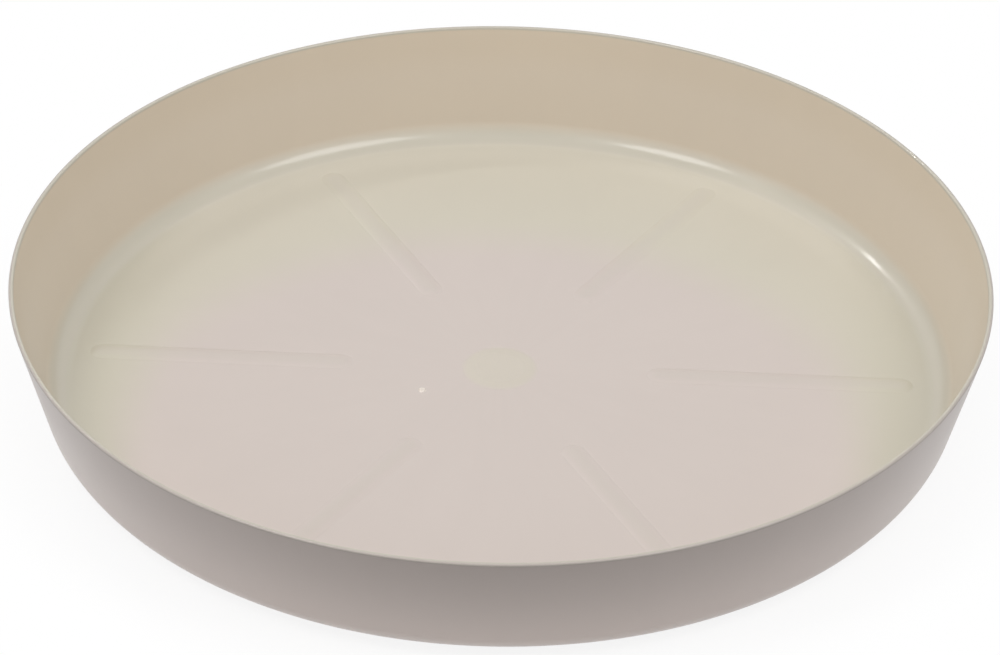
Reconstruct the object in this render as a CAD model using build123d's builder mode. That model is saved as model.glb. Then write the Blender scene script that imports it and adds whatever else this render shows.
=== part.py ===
from build123d import *

import os
from math import atan2, cos, degrees, radians, sin, tan

# Plant saucer, in millimetres: +Z up, origin at the centre of the plane it stands on, one rib along +X.
# The real saucer comes out of its mould as one piece, so every form below belongs to one solid.

# Outer size of the shell
rim_diameter = 300.0
overall_height = 40.8
base_diameter = 280.4  # where the wall's outer line would meet the underside, before the corner is rounded

# Wall and floor of the shell: the wall thins towards the rim, as a drafted mould leaves it
rim_wall = 1.5
rim_crown = 0.25  # how far the middle of the rim stands above its two edges
foot_wall = 1.8
floor_thickness = 1.7
corner_radius = 10.0  # outside, between wall and underside

# Ring under the floor that the saucer stands on
foot_ring_width = 3.6
foot_ring_height = 1.0
foot_ring_inset = 2.6  # from the end of the flat underside to the ring
foot_ring_chamfer = 0.3

# Ribs on the floor that lift a pot's base: low and broad, and round like the cutter that made the mould
rib_count = 6
rib_width = 7.6
rib_height = 0.5
rib_first_radius = 46.0
rib_end_gap = 4.0  # from the rib's outer end to where the floor starts to curve up

# Disc over the mould's gate in the middle: its top is level with the ribs, and it is hollow below,
# with the stub of plastic left where the gate was
gate_disc_foot_diameter = 23.0
gate_disc_top_diameter = 16.0
gate_disc_rounding = 4.0
gate_hollow_diameter = 17.0
gate_stub_diameter = 3.2
gate_stub_length = 0.9

# Small round pip that the mould leaves on the floor beside the disc
pip_foot_diameter = 2.4
pip_top_diameter = 1.6
pip_height = 0.4
pip_radius = 27.0  # from the middle
pip_angle = -149.5  # degrees from +X

# Wall line and corners of the shell
floor_height = foot_ring_height + floor_thickness
rim_radius = rim_diameter / 2
rim_edge_height = overall_height - rim_crown
base_radius = base_diameter / 2
wall_rise = rim_edge_height - foot_ring_height
wall_run = rim_radius - base_radius
wall_lean = atan2(wall_run, wall_rise)  # from the vertical, in radians
corner_share = tan((radians(90) - wall_lean) / 2)  # a corner's tangent length as a share of its radius
inner_corner_radius = corner_radius - foot_wall
inner_base_radius = base_radius + wall_run * floor_thickness / wall_rise - foot_wall
flat_underside_radius = base_radius - corner_radius * corner_share
flat_floor_radius = inner_base_radius - inner_corner_radius * corner_share

# Places and sizes of what stands on the shell
foot_ring_radius = flat_underside_radius - foot_ring_inset
rib_ball_radius = ((rib_width / 2) ** 2 + rib_height**2) / (2 * rib_height)
rib_ball_height = floor_height + rib_height - rib_ball_radius
rib_first_ball = rib_first_radius + rib_width / 2
rib_last_ball = flat_floor_radius - rib_end_gap - rib_width / 2
gate_disc_slope = degrees(atan2((gate_disc_foot_diameter - gate_disc_top_diameter) / 2, rib_height))
gate_hollow_roof = foot_ring_height + rib_height
pip_slope = degrees(atan2((pip_foot_diameter - pip_top_diameter) / 2, pip_height))
pip_place = (pip_radius * cos(radians(pip_angle)), pip_radius * sin(radians(pip_angle)))

with BuildPart() as saucer:
    # Ribs: round bars with ball ends, of which only what stands above the floor is left
    with Locations((0, 0, rib_ball_height)):
        with PolarLocations((rib_first_ball + rib_last_ball) / 2, rib_count):
            Cylinder(rib_ball_radius, rib_last_ball - rib_first_ball, rotation=(0, 90, 0))
        with PolarLocations(rib_first_ball, rib_count):
            Sphere(rib_ball_radius)
        with PolarLocations(rib_last_ball, rib_count):
            Sphere(rib_ball_radius)
    split(bisect_by=Plane.XY.offset(floor_height), keep=Keep.TOP)

    # Shell: one section turned about the axis
    with BuildSketch(Plane.XZ) as section:
        with BuildLine():
            Polyline(
                (rim_radius - rim_wall, rim_edge_height),
                (inner_base_radius, floor_height),
                (0, floor_height),
                (0, foot_ring_height),
                (base_radius, foot_ring_height),
                (rim_radius, rim_edge_height),
            )
            ThreePointArc(
                (rim_radius, rim_edge_height),
                (rim_radius - rim_wall / 2, overall_height),
                (rim_radius - rim_wall, rim_edge_height),
            )
        make_face()
        outer_corner = section.vertices().sort_by_distance((base_radius, foot_ring_height))[0]
        fillet(outer_corner, radius=corner_radius)
        inner_corner = section.vertices().sort_by_distance((inner_base_radius, floor_height))[0]
        fillet(inner_corner, radius=inner_corner_radius)
    revolve(axis=Axis.Z)

    # Foot ring
    with BuildSketch(Plane.XY):
        Circle(foot_ring_radius)
        Circle(foot_ring_radius - foot_ring_width, mode=Mode.SUBTRACT)
    extrude(amount=foot_ring_height)
    chamfer(saucer.faces().sort_by(Axis.Z)[0].edges(), length=foot_ring_chamfer)

    # Gate disc
    with BuildSketch(Plane.XY.offset(floor_height)):
        Circle(gate_disc_foot_diameter / 2)
    extrude(amount=rib_height, taper=gate_disc_slope)
    disc_edges = saucer.edges(Select.LAST).filter_by(GeomType.CIRCLE)
    fillet(disc_edges, radius=gate_disc_rounding)

    # Pip
    with BuildSketch(Plane.XY.offset(floor_height)):
        with Locations(pip_place):
            Circle(pip_foot_diameter / 2)
    extrude(amount=pip_height, taper=pip_slope)

    # Hollow under the disc, and the stub in it
    with BuildSketch(Plane.XY.offset(foot_ring_height)):
        Circle(gate_hollow_diameter / 2)
    extrude(amount=rib_height, mode=Mode.SUBTRACT)
    with BuildSketch(Plane.XY.offset(gate_hollow_roof)):
        Circle(gate_stub_diameter / 2)
    extrude(amount=-gate_stub_length)

saucer.part.label = "saucer"

os.makedirs("parts", exist_ok=True)
export_step(saucer.part, "parts/saucer.step")
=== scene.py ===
import math

import bmesh
import bpy
from mathutils import Matrix, Vector


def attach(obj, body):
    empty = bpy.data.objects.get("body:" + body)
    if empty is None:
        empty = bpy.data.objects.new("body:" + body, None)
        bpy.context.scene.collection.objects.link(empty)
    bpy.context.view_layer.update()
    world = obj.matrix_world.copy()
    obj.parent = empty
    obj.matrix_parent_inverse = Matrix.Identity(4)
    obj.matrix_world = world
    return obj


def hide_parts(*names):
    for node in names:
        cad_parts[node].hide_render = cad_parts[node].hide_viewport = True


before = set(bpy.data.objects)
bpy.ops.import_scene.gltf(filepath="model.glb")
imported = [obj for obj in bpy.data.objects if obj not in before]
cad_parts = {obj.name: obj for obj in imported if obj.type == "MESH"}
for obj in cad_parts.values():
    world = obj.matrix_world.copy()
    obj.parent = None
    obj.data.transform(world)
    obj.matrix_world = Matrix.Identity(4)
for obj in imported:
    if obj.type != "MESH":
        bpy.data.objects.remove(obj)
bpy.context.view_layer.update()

# View: a long lens looks down at the saucer from the front, tilted by about a degree.
# One rib of the saucer points almost straight to the right of the picture.
view_turn = math.radians(2.83)  # how far the saucer is turned against the picture
view_elevation = math.radians(33.907)
view_distance = 1.15196
view_roll = math.radians(0.8903)
aim_height, aim_left = 0.01802, 0.00015
picture_width, focal_pixels, sensor_width = 1000.0, 3721.2, 36.0


def seen_from(azimuth, elevation, distance):
    """A point at that distance from the saucer; azimuth 0 is the picture's right, 90 degrees its far side."""
    flat = distance * math.cos(elevation)
    around = azimuth + view_turn
    return Vector((flat * math.cos(around), flat * math.sin(around), distance * math.sin(elevation)))


camera_data = bpy.data.cameras.new("front_view")
camera_data.sensor_width = sensor_width
camera_data.lens = focal_pixels * sensor_width / picture_width
camera = bpy.data.objects.new("front_view", camera_data)
bpy.context.scene.collection.objects.link(camera)
aim = Vector((-aim_left, 0, aim_height))
standpoint = aim + seen_from(-math.pi / 2, view_elevation, view_distance)
level_look = (aim - standpoint).to_track_quat("-Z", "Y").to_matrix().to_4x4()
camera.matrix_world = Matrix.Translation(standpoint) @ level_look @ Matrix.Rotation(view_roll, 4, "Z")
bpy.context.scene.camera = camera

# Shell: a thin round dish of beige polypropylene, injected through the middle of its floor.
# The wall leans out, thins a little towards the rounded rim, and meets the floor in a large radius.
# Every other form of the saucer is moulded on this shell, so all of them go into one mesh, in millimetres.
rim_radius, rim_height, rim_wall = 150.16, 40.79, 1.5
rim_rounding = 0.6  # brings the widest point of the rim in to 150.0
base_radius, foot_wall, corner_radius = 140.2, 1.8, 10.0
underside, floor_level = 1.0, 2.7
steps_round = 288

wall_lean = math.atan2(rim_radius - base_radius, rim_height - underside)
corner_share = math.tan((math.pi / 2 - wall_lean) / 2)
inner_base = base_radius + math.tan(wall_lean) * (floor_level - underside) - foot_wall
flat_floor = inner_base - (corner_radius - foot_wall) * corner_share
flat_underside = base_radius - corner_radius * corner_share

millimetre = 0.001
inside_face, outside_face = 0, 1
moulding = bmesh.new()


def rounded(corners, steps=6):
    """Points along the corners (x, y, radius), with an arc, of so many steps for 30 degrees, at each radius."""
    points = []
    for index, (x, y, radius) in enumerate(corners):
        here = Vector((x, y))
        if not radius:
            points.append((x, y))
            continue
        before = (Vector(corners[index - 1][:2]) - here).normalized()
        after = (Vector(corners[index + 1][:2]) - here).normalized()
        half = before.angle(after) / 2
        centre = here + (before + after).normalized() * radius / math.sin(half)
        arm = here + before * radius / math.tan(half) - centre
        turn = arm.angle_signed(here + after * radius / math.tan(half) - centre)
        count = max(2, round(steps * abs(math.degrees(turn)) / 30))
        for k in range(count + 1):
            spoke = arm.copy()
            spoke.rotate(Matrix.Rotation(-turn * k / count, 2))
            points.append(tuple(centre + spoke))
    return points


def loop_of(points):
    """New corners of the mesh at these points."""
    return [moulding.verts.new(Vector(point) * millimetre) for point in points]


def ring_of_points(radius, height, count=steps_round, centre=(0.0, 0.0)):
    """New corners of the mesh, evenly round a circle."""
    x, y = centre
    turns = [math.tau * k / count for k in range(count)]
    return loop_of([(x + radius * math.cos(t), y + radius * math.sin(t), height) for t in turns])


def skin(loops, finish):
    """Joins each loop to the next by a band of faces."""
    for first, second in zip(loops, loops[1:]):
        for k, corner in enumerate(first):
            after = (k + 1) % len(first)
            moulding.faces.new((corner, first[after], second[after], second[k])).material_index = finish


def cap(loop, finish):
    """Closes a loop with one flat face."""
    moulding.faces.new(loop).material_index = finish


def edge_of(loop):
    """The edges round a loop, for the floor to be filled up to."""
    return [moulding.edges.get((corner, loop[(k + 1) % len(loop)])) for k, corner in enumerate(loop)]


inside_line = rounded([
    (flat_floor, floor_level, 0),
    (inner_base, floor_level, corner_radius - foot_wall),
    (rim_radius - rim_wall, rim_height, rim_rounding),
    (rim_radius - rim_wall / 2, rim_height, 0)])[1:]
outside_line = rounded([
    (rim_radius - rim_wall / 2, rim_height, 0),
    (rim_radius, rim_height, rim_rounding),
    (base_radius, underside, corner_radius),
    (flat_underside, underside, 0)])[1:-1]
inside_loops = [ring_of_points(r, z) for r, z in inside_line]
skin(inside_loops, inside_face)
outside_loops = [inside_loops[-1]] + [ring_of_points(r, z) for r, z in outside_line]
skin(outside_loops, outside_face)
floor_edges = edge_of(inside_loops[0])


def group_of(name, inputs, outputs):
    """An empty node group with named sockets, with the sockets of its input and output nodes."""
    tree = bpy.data.node_groups.new(name, "ShaderNodeTree")
    for label, kind, value in inputs:
        tree.interface.new_socket(label, in_out="INPUT", socket_type="NodeSocket" + kind).default_value = value
    for label, kind in outputs:
        tree.interface.new_socket(label, in_out="OUTPUT", socket_type="NodeSocket" + kind)
    return tree, tree.nodes.new("NodeGroupInput").outputs, tree.nodes.new("NodeGroupOutput").inputs


def feed(tree, target, source):
    """Sets a socket to a value, or links it to another socket."""
    if isinstance(source, bpy.types.NodeSocket):
        tree.links.new(source, target)
    else:
        target.default_value = source


def maths(tree, operation, *values, clamp=False):
    node = tree.nodes.new("ShaderNodeMath")
    node.operation = operation
    node.use_clamp = clamp
    for socket, value in zip(node.inputs, values):
        feed(tree, socket, value)
    return node.outputs[0]


def spread(tree, value, low, high, to_low=0.0, to_high=1.0):
    """Maps low..high smoothly to to_low..to_high."""
    node = tree.nodes.new("ShaderNodeMapRange")
    node.interpolation_type = "SMOOTHSTEP"
    for socket, number in zip(node.inputs, (value, low, high, to_low, to_high)):
        feed(tree, socket, number)
    return node.outputs[0]


def noise(tree, place, scale, detail=2.0, roughness=0.5, stretch=(1.0, 1.0, 1.0)):
    mapping, node = tree.nodes.new("ShaderNodeMapping"), tree.nodes.new("ShaderNodeTexNoise")
    mapping.inputs["Scale"].default_value = stretch
    tree.links.new(place, mapping.inputs["Vector"])
    tree.links.new(mapping.outputs[0], node.inputs["Vector"])
    for label, value in (("Scale", scale), ("Detail", detail), ("Roughness", roughness)):
        feed(tree, node.inputs[label], value)
    return node.outputs["Fac"]


def blend_colours(tree, factor, first, second):
    node = tree.nodes.new("ShaderNodeMix")
    node.data_type = "RGBA"
    for label, source in (("Factor", factor), ("A", first), ("B", second)):
        feed(tree, node.inputs[label], source)
    return node.outputs["Result"]


def own_place(tree):
    """Position on the object, in metres."""
    return tree.nodes.new("ShaderNodeTexCoord").outputs["Object"]


def own_xyz(tree):
    """The three parts of the position on the object, in metres."""
    parts = tree.nodes.new("ShaderNodeSeparateXYZ")
    tree.links.new(own_place(tree), parts.inputs[0])
    return parts.outputs


def from_axis(tree, xyz):
    """Distance from the saucer's axis, in metres."""
    x, y = xyz["X"], xyz["Y"]
    return maths(tree, "SQRT", maths(tree, "MULTIPLY_ADD", x, x, maths(tree, "MULTIPLY", y, y)))


def from_point(tree, point):
    """Distance from a point on the object, in metres."""
    node = tree.nodes.new("ShaderNodeVectorMath")
    node.operation = "DISTANCE"
    tree.links.new(own_place(tree), node.inputs[0])
    node.inputs[1].default_value = point
    return node.outputs["Value"]


# Flow tone: faint clouds, and streaks that run out from the gate as the melt did
flow_tone, given, result = group_of(
    "flow_tone",
    [("Tone", "Color", (0.6, 0.53, 0.48, 1)), ("Deep Tone", "Color", (0.57, 0.5, 0.45, 1)),
     ("Clouds", "Float", 0.5), ("Streaks", "Float", 0.5)],
    [("Color", "Color")])
tree = flow_tone
gate_reach = 0.004  # the streaks start this far from the axis
along_share = 4.0  # how fast a streak changes on its way out
xyz = own_xyz(tree)
radius = from_axis(tree, xyz)
off_gate = maths(tree, "MAXIMUM", radius, gate_reach)
along_flow = tree.nodes.new("ShaderNodeCombineXYZ")
for part in "XY":
    feed(tree, along_flow.inputs[part], maths(tree, "DIVIDE", xyz[part], off_gate))
feed(tree, along_flow.inputs["Z"], maths(tree, "MULTIPLY", radius, along_share))
clouds = spread(tree, noise(tree, own_place(tree), scale=16.0, detail=4.0), low=0.3, high=0.7)
streaks = spread(
    tree, noise(tree, along_flow.outputs[0], scale=7.0, detail=3.0, roughness=0.6), low=0.35, high=0.7)
cloud_share = maths(tree, "MULTIPLY", clouds, given["Clouds"])
deep = maths(tree, "MULTIPLY_ADD", streaks, given["Streaks"], cloud_share, clamp=True)
feed(tree, result["Color"], blend_colours(tree, deep, given["Tone"], given["Deep Tone"]))

# Mould skin: the fine unevenness of a moulded face, as a height, and a gloss that varies with it
mould_skin, given, result = group_of(
    "mould_skin",
    [("Grain", "Float", 700.0), ("Grain Share", "Float", 0.1), ("Roughness", "Float", 0.2),
     ("Roughness Spread", "Float", 0.05)],
    [("Height", "Float"), ("Roughness", "Float")])
tree = mould_skin
fine = noise(tree, own_place(tree), given["Grain"])
wave = noise(tree, own_place(tree), scale=38.0)
patches = noise(tree, own_place(tree), scale=55.0, detail=5.0, roughness=0.65)
noise_middle = 0.5
gloss_patches = maths(tree, "SUBTRACT", patches, noise_middle)
feed(tree, result["Height"], maths(tree, "MULTIPLY_ADD", fine, given["Grain Share"], wave))
feed(tree, result["Roughness"],
     maths(tree, "MULTIPLY_ADD", gloss_patches, given["Roughness Spread"], given["Roughness"]))

# Scuffs: short fine rubs in two directions, gathered where Where is high
scuffs, given, result = group_of(
    "scuffs", [("Where", "Float", 0.5), ("Amount", "Float", 0.5)], [("Mask", "Float")])
tree = scuffs
rub_noise = {"detail": 6.0, "roughness": 0.75}
rubs_across = spread(
    tree, noise(tree, own_place(tree), 60.0, stretch=(1.0, 14.0, 1.0), **rub_noise), low=0.60, high=0.72)
rubs_along = spread(
    tree, noise(tree, own_place(tree), 70.0, stretch=(12.0, 1.0, 1.0), **rub_noise), low=0.61, high=0.74)
rubs = maths(tree, "MAXIMUM", rubs_across, rubs_along)
rubs_here = maths(tree, "MULTIPLY", rubs, given["Where"])
feed(tree, result["Mask"], maths(tree, "MULTIPLY", rubs_here, given["Amount"], clamp=True))


def placed(tree, group, **values):
    """A node group put into a material with its own values."""
    node = tree.nodes.new("ShaderNodeGroup")
    node.node_tree = group
    for label, value in values.items():
        feed(tree, node.inputs[label.replace("_", " ")], value)
    return node.outputs


plastic_ior = 1.49
rim_start, rim_end = 0.0397, 0.0403  # height at which the wall's finish goes over into the rim's, in metres
black = (0, 0, 0, 1)
deep_share = 0.03  # how much darker the clouds and streaks are
skin_depth = 0.2 * millimetre


def plastic(name):
    """A new material with its node tree and the sockets of its Principled shader, set as polypropylene."""
    material = bpy.data.materials.new(name)
    material.use_nodes = True
    shader = material.node_tree.nodes["Principled BSDF"]
    shader.inputs["IOR"].default_value = plastic_ior
    return material, material.node_tree, shader.inputs


def finish_face(tree, sockets, tone, worn, worn_tone, worn_roughness, skin_values, bump_strength):
    """Joins tone, wear and skin to the shader."""
    feed(tree, sockets["Base Color"], blend_colours(tree, worn, tone, worn_tone))
    feed(tree, sockets["Roughness"],
         maths(tree, "MULTIPLY_ADD", worn, worn_roughness, skin_values["Roughness"]))
    bump = tree.nodes.new("ShaderNodeBump")
    bump.inputs["Distance"].default_value = skin_depth
    bump.inputs["Strength"].default_value = bump_strength
    tree.links.new(skin_values["Height"], bump.inputs["Height"])
    tree.links.new(bump.outputs[0], sockets["Normal"])


# Inside, from the polished half of the mould: pinkish in the middle of the floor. The yellowish tone further
# out is painted warm bounce light, with a painted light band along the corner, and painted shade towards both
# sides, in the corner and on the rib crowns. The warmer wall is painted warm light, darker higher up as painted
# shade, and the greyer rim is painted shade. The polish has lasted only in the corner and on the wall, and on
# the pip, which is paler with a painted highlight; the floor has gone dull.
pip_from_axis, pip_turn, pip_rise = 27.0, math.radians(-149.5), 0.4  # where the pip is, and its height
pip_centre = (pip_from_axis * math.cos(pip_turn), pip_from_axis * math.sin(pip_turn))
pinkish_centre = (0, -0.043, 0)
middle_tone = (0.585, 0.516, 0.477, 1)
# painted warm bounce light: the floor turns yellowish away from its middle, towards the walls
warm_bounce_floor_tone = (0.575, 0.537, 0.450, 1)
# painted light band: the floor is lighter just before the corner
floor_edge_light_tone = (0.603, 0.565, 0.477, 1)
# painted shade: the floor is deeper towards both sides
floor_side_shade_tone = (0.530, 0.500, 0.410, 1)
# painted shade: the crowns of the ribs, and all that rises above the floor, are a little darker
rib_crown_shade_tone = (0.540, 0.492, 0.435, 1)
disc_tone = (0.583, 0.532, 0.458, 1)
# painted highlight: the pip is paler than the floor
pip_highlight_tone = (0.720, 0.650, 0.580, 1)
# painted shade: the corner between floor and wall is darker
corner_shade_tone = (0.542, 0.507, 0.421, 1)
# the wall's colour with painted warm light, from bounce and from light through the thin wall
warm_lit_wall_tone = (0.657, 0.572, 0.461, 1)
# painted shade: the upper wall is a little darker
upper_wall_shade_tone = (0.645, 0.555, 0.436, 1)
# painted shade: the rim is greyer and darker
inner_rim_shade_tone = (0.515, 0.480, 0.405, 1)
polish_weight, polish_roughness = 0.45, 0.11

polished_inside, tree, sockets = plastic("polished_inside")
xyz = own_xyz(tree)
radius, height = from_axis(tree, xyz), xyz["Z"]
beside = maths(tree, "ABSOLUTE", xyz["X"])
from_pinkish = from_point(tree, pinkish_centre)
from_pip = from_point(tree, Vector((*pip_centre, floor_level + pip_rise / 2)) * millimetre)
on_rim = spread(tree, height, rim_start, rim_end)
laid_over = [
    # where a tone shows, with distances and heights in metres, and the tone; each lies over those before it
    (spread(tree, from_pinkish, 0.103, 0.133), warm_bounce_floor_tone),
    (spread(tree, radius, 0.122, 0.130), floor_edge_light_tone),
    (spread(tree, beside, 0.100, 0.128), floor_side_shade_tone),
    (spread(tree, height, 0.0029, 0.0032, to_high=0.3), rib_crown_shade_tone),
    (spread(tree, radius, 0.0100, 0.0125, to_low=1.0, to_high=0.0), disc_tone),
    (spread(tree, from_pip, 0.0009, 0.0015, to_low=1.0, to_high=0.0), pip_highlight_tone),
    (spread(tree, radius, 0.1342, 0.1364), corner_shade_tone),
    (spread(tree, height, 0.0045, 0.0090), warm_lit_wall_tone),
    (spread(tree, height, 0.024, 0.036), upper_wall_shade_tone),
    (on_rim, inner_rim_shade_tone),
]
tone = middle_tone
for where, upper_tone in laid_over:
    tone = blend_colours(tree, where, tone, upper_tone)
deep_tone = blend_colours(tree, deep_share, tone, black)
melt = placed(tree, flow_tone, Tone=tone, Deep_Tone=deep_tone, Clouds=0.3, Streaks=0.3)
worn = placed(tree, scuffs, Where=on_rim, Amount=0.3)["Mask"]
skin_values = placed(tree, mould_skin, Grain=900.0, Grain_Share=0.03, Roughness=0.34, Roughness_Spread=0.05)
polish = maths(tree, "ADD", spread(tree, radius, 0.1225, 0.1335, to_high=polish_weight),
               spread(tree, from_pip, 0.0015, 0.0024, to_low=polish_weight, to_high=0.0))
feed(tree, sockets["Coat Weight"], polish)
sockets["Coat Roughness"].default_value = polish_roughness
sockets["Coat IOR"].default_value = plastic_ior
finish_face(tree, sockets, melt["Color"], worn, worn_tone=(0.63, 0.59, 0.52, 1), worn_roughness=0.2,
            skin_values=skin_values, bump_strength=0.3)

# Outside and underside, from the duller half of the mould, rubbed where the saucer stands; the rim is darker
# with painted shade
outer_wall_tone = (0.584, 0.508, 0.470, 1)
# painted shade: the rim is greyer and darker
outer_rim_shade_tone = (0.475, 0.425, 0.385, 1)
rubbed_below, untouched_above = 0.0001, 0.0006  # heights, in metres
wear_everywhere = 0.1

dull_outside, tree, sockets = plastic("dull_outside")
height = own_xyz(tree)["Z"]
on_rim = spread(tree, height, rim_start, rim_end)
tone = blend_colours(tree, on_rim, outer_wall_tone, outer_rim_shade_tone)
deep_tone = blend_colours(tree, deep_share, tone, black)
melt = placed(tree, flow_tone, Tone=tone, Deep_Tone=deep_tone, Clouds=0.4, Streaks=0.3)
where_rubbed = maths(tree, "ADD", spread(tree, height, untouched_above, rubbed_below), wear_everywhere)
worn = placed(tree, scuffs, Where=where_rubbed, Amount=0.8)["Mask"]
skin_values = placed(tree, mould_skin, Grain=1400.0, Grain_Share=0.1, Roughness=0.32, Roughness_Spread=0.1)
finish_face(tree, sockets, melt["Color"], worn, worn_tone=(0.68, 0.63, 0.59, 1), worn_roughness=0.25,
            skin_values=skin_values, bump_strength=0.35)

# Underside: the foot ring that the saucer stands on, and in the middle the hollow under the gate disc,
# with the short stub of plastic left where the gate was cut. All are moulded with the shell.
ring_inset, ring_width, ring_rounding = 2.6, 3.6, 0.3
hollow_radius, hollow_depth = 8.5, 0.5
stub_radius, stub_length, stub_rounding = 1.6, 0.9, 0.25
edge_break = 0.15

ring_outside = flat_underside - ring_inset
ring_inside = ring_outside - ring_width
hollow_roof = underside + hollow_depth
stub_end = hollow_roof - stub_length
underside_line = rounded([
    (ring_outside, underside, 0),
    (ring_outside, 0, ring_rounding),
    (ring_inside, 0, ring_rounding),
    (ring_inside, underside, 0),
    (hollow_radius, underside, edge_break),
    (hollow_radius, hollow_roof, edge_break),
    (stub_radius, hollow_roof, edge_break),
    (stub_radius, stub_end, stub_rounding),
    (stub_radius / 2, stub_end, 0)])
underside_loops = [outside_loops[-1]] + [ring_of_points(r, z) for r, z in underside_line]
skin(underside_loops, outside_face)
cap(underside_loops[-1], outside_face)

# Ribs: six low broad ribs that lift a pot off the floor, cut into the mould with a ball-nosed cutter,
# so each is round across and at its ends, and runs into the floor in a small hollow.
rib_count, rib_first, rib_gap = 6, 46.0, 4.0
rib_half, rib_rise, rib_root = 3.8, 0.5, 2.0
rib_ball = (rib_half ** 2 + rib_rise ** 2) / (2 * rib_rise)
ball_places = (rib_first + rib_half, flat_floor - rib_gap - rib_half)


def ball_section(steps=9, root_steps=4):
    """Half the section across a rib: distances from its spine and heights, from the floor to the crest."""
    below = rib_ball - rib_rise
    slope = math.acos((below + rib_root) / (rib_ball + rib_root))
    reach = (rib_ball + rib_root) * math.sin(slope)
    points = []
    for k in range(root_steps + 1):
        turn = slope * k / root_steps
        points.append((reach - rib_root * math.sin(turn), rib_root - rib_root * math.cos(turn)))
    for k in range(1, steps + 1):
        turn = slope * (1 - k / steps)
        points.append((rib_ball * math.sin(turn), rib_ball * math.cos(turn) - below))
    return points


def rib_outline(across, rise, side_steps=10, end_steps=18):
    """One line round a rib, at that distance from its spine and that height above the floor."""
    first, last = ball_places
    points = []
    for start, end, side, turn in ((first, last, -1, -math.pi / 2), (last, first, 1, math.pi / 2)):
        for k in range(side_steps):
            points.append((start + (end - start) * k / side_steps, side * across))
        for k in range(end_steps):
            angle = turn + math.pi * k / end_steps
            points.append((end + across * math.cos(angle), across * math.sin(angle)))
    return [Vector((x, y, floor_level + rise)) for x, y in points]


for number in range(rib_count):
    turned = Matrix.Rotation(math.tau * number / rib_count, 3, "Z")
    rib_loops = [loop_of([turned @ point for point in rib_outline(*place)]) for place in ball_section()]
    skin(rib_loops, inside_face)
    floor_edges += edge_of(rib_loops[0])

# Gate disc: a low round boss in the middle of the floor, over the gate that the melt came in by.
# It is moulded with the floor, with its top level with the ribs.
disc_foot, disc_top, disc_rounding = 11.5, 8.0, 4.0
disc_top_ring = 5.6  # radius of the innermost ring of faces
disc_steps_round, disc_steps_up = 96, 12


def round_form(foot, top, rise, rounding, top_ring, count, steps_up=6, centre=(0.0, 0.0)):
    """A low round form on the floor, rounded at its foot and at its top's edge; gives the edges of its foot."""
    top_level = floor_level + rise
    line = rounded([
        (2 * foot, floor_level, 0),
        (foot, floor_level, rounding),
        (top, top_level, rounding),
        (top_ring, top_level, 0)], steps_up)[1:]
    loops = [ring_of_points(r, z, count, centre) for r, z in line]
    skin(loops, inside_face)
    cap(loops[-1], inside_face)
    return edge_of(loops[0])


floor_edges += round_form(
    disc_foot, disc_top, rib_rise, disc_rounding, disc_top_ring, disc_steps_round, disc_steps_up)

# Pip: a small round mark on the floor, to one side of the disc.
# It is moulded with the floor, in a shallow hole of the mould, and is glossier than the floor; its paler tone
# is a painted highlight.
pip_foot, pip_top, pip_rounding = 1.2, 0.8, 0.2
pip_top_ring = 0.24
pip_steps_round = 32
floor_edges += round_form(
    pip_foot, pip_top, pip_rise, pip_rounding, pip_top_ring, pip_steps_round, centre=pip_centre)

# The finished moulding: the flat of the floor closes the skin between the shell, the ribs, the disc and the
# pip, and the whole stands for the saucer's one solid.
flat_of_floor = bmesh.ops.triangle_fill(moulding, use_beauty=True, edges=floor_edges, normal=(0, 0, 1))
for element in flat_of_floor["geom"]:
    if isinstance(element, bmesh.types.BMFace):
        element.material_index = inside_face
bmesh.ops.recalc_face_normals(moulding, faces=moulding.faces)
for face in moulding.faces:
    face.smooth = True
saucer_mesh = bpy.data.meshes.new("saucer_shell")
moulding.to_mesh(saucer_mesh)
moulding.free()
saucer_mesh.materials.append(polished_inside)
saucer_mesh.materials.append(dull_outside)
saucer = bpy.data.objects.new("saucer_shell", saucer_mesh)
bpy.context.scene.collection.objects.link(saucer)
even_shading = saucer.modifiers.new("even_shading", "WEIGHTED_NORMAL")
even_shading.mode = "FACE_AREA_WITH_ANGLE"
even_shading.weight = 80
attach(saucer, "root")
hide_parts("saucer")

# Studio sheet: a pale sheet that the saucer stands on. Around the foot it throws light up at the wall and
# keeps a light shadow, and further out it shows as plain white and throws back little light.
sheet_half = 4.0
sheet_tone = (0.95, 0.95, 0.95, 1)
bounce_near, bounce_far = 0.90, 0.04
white_near, white_far = 0.86, 1.0  # share of plain white in what is seen

sheet_mesh = bpy.data.meshes.new("studio_sheet")
sheet_corners = [(x * sheet_half, y * sheet_half, 0) for x, y in ((-1, -1), (1, -1), (1, 1), (-1, 1))]
sheet_mesh.from_pydata(sheet_corners, [], [(0, 1, 2, 3)])
studio_sheet = bpy.data.objects.new("studio_sheet", sheet_mesh)
bpy.context.scene.collection.objects.link(studio_sheet)


def seen(tree):
    """1 for what the camera, a reflection or a clear surface shows, 0 for light that only bounces."""
    path = tree.nodes.new("ShaderNodeLightPath").outputs
    camera_or_reflection = maths(tree, "ADD", path["Is Camera Ray"], path["Is Glossy Ray"], clamp=True)
    return maths(tree, "ADD", camera_or_reflection, path["Is Transmission Ray"], clamp=True)


def mix_shaders(tree, factor, first, second):
    node = tree.nodes.new("ShaderNodeMixShader")
    for socket, source in zip(node.inputs, (factor, first, second)):
        feed(tree, socket, source)
    return node.outputs[0]


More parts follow.
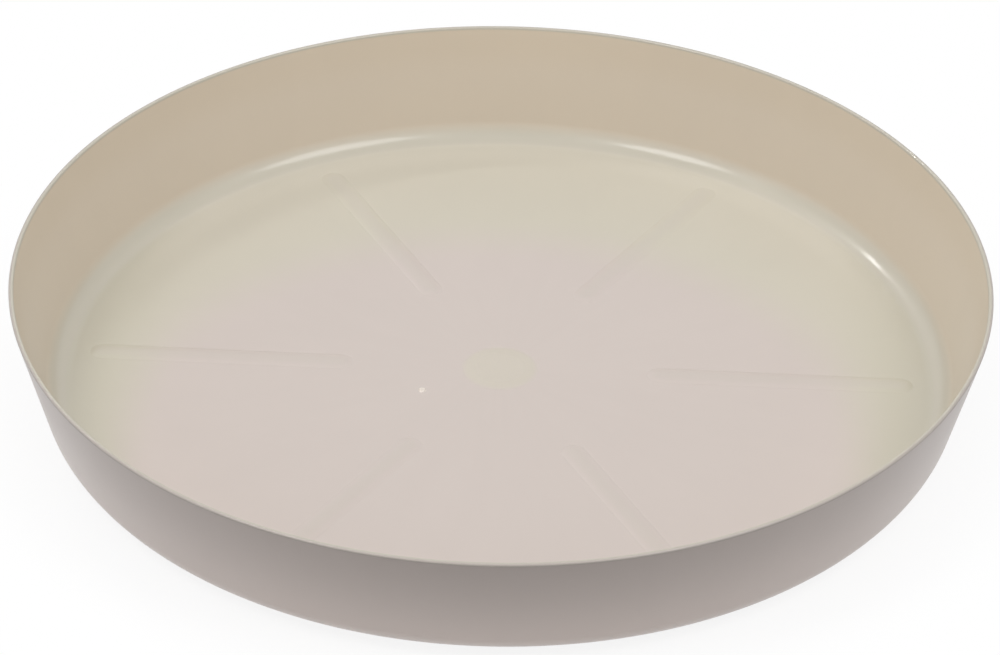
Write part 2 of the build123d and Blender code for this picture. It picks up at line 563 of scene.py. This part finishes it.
pale_sheet = bpy.data.materials.new("pale_sheet")
pale_sheet.use_nodes = True
tree = pale_sheet.node_tree
tree.nodes.remove(tree.nodes["Principled BSDF"])
radius = from_axis(tree, own_xyz(tree))
bounce, shaded, white = [tree.nodes.new(kind) for kind in (
    "ShaderNodeBsdfDiffuse", "ShaderNodeBsdfDiffuse", "ShaderNodeEmission")]
feed(tree, bounce.inputs["Color"], spread(tree, radius, 0.158, 0.212, bounce_near, bounce_far))
shaded.inputs["Color"].default_value = sheet_tone
white.inputs["Strength"].default_value = 1.0
white_share = spread(tree, radius, 0.128, 0.20, white_near, white_far)
shown = mix_shaders(tree, white_share, shaded.outputs[0], white.outputs[0])
feed(tree, tree.nodes["Material Output"].inputs["Surface"],
     mix_shaders(tree, seen(tree), bounce.outputs[0], shown))
sheet_mesh.materials.append(pale_sheet)

# Room: soft light from large pale walls and screens, strongest from above and from low down on both sides of
# the camera; what the camera or a reflection sees of the room is plain white.
glow_full, glow_reach = math.radians(10), math.radians(40)  # from a glow's middle: full light, and any light
glows = {
    # name: azimuth and elevation of its middle, strength
    "above": (90, 85, 1.17),
    "behind": (90, 50, 0.56),
    "low_front_left": (-150, 15, 1.24),
    "front": (-90, 50, 0.15),
    "low_front_right": (-30, 15, 1.29),
    "low_left": (180, 15, 0.44),
}
room = bpy.context.scene.world or bpy.data.worlds.new("room")
bpy.context.scene.world = room
room.use_nodes = True
tree = room.node_tree
direction = tree.nodes.new("ShaderNodeTexCoord").outputs["Generated"]
light = 0.0
for azimuth, elevation, strength in glows.values():
    towards = tree.nodes.new("ShaderNodeVectorMath")
    towards.operation = "DOT_PRODUCT"
    tree.links.new(direction, towards.inputs[0])
    towards.inputs[1].default_value = seen_from(math.radians(azimuth), math.radians(elevation), 1.0)
    glow = spread(
        tree, towards.outputs["Value"], math.cos(glow_reach), math.cos(glow_full), to_high=strength)
    light = maths(tree, "ADD", glow, light)
background = tree.nodes["Background"].inputs
background["Strength"].default_value = 1.0
shown = seen(tree)
unseen_light = maths(tree, "MULTIPLY", light, maths(tree, "SUBTRACT", 1.0, shown))
feed(tree, background["Color"], maths(tree, "ADD", shown, unseen_light))

# Lamps: two soft boxes at the front that show as streaks in the saucer's inner corner, and one small lamp
# behind it to the left that shows as a bright dash.
lamps = {
    # name: azimuth, elevation, distance, width, depth, roll, watts
    "front_left_box": (-152, 56.5, 1.2, 0.42, 0.55, 16, 3.6),
    "front_right_box": (-30, 56, 1.2, 0.64, 0.58, -20, 4.2),
    "small_lamp": (129.5, 43.7, 1.3, 0.33, 0.045, -18, 1.3),
}
for name, (azimuth, elevation, distance, width, depth, roll, watts) in lamps.items():
    lamp_data = bpy.data.lights.new(name, "AREA")
    lamp_data.shape = "ELLIPSE"
    lamp_data.size, lamp_data.size_y = width, depth
    lamp_data.energy = watts
    lamp = bpy.data.objects.new(name, lamp_data)
    bpy.context.scene.collection.objects.link(lamp)
    lamp.location = seen_from(math.radians(azimuth), math.radians(elevation), distance)
    facing = (-lamp.location).to_track_quat("-Z", "Y")
    facing.rotate(Matrix.Rotation(math.radians(roll), 3, lamp.location))
    lamp.rotation_euler = facing.to_euler()

bpy.context.scene.view_settings.view_transform = "Standard"
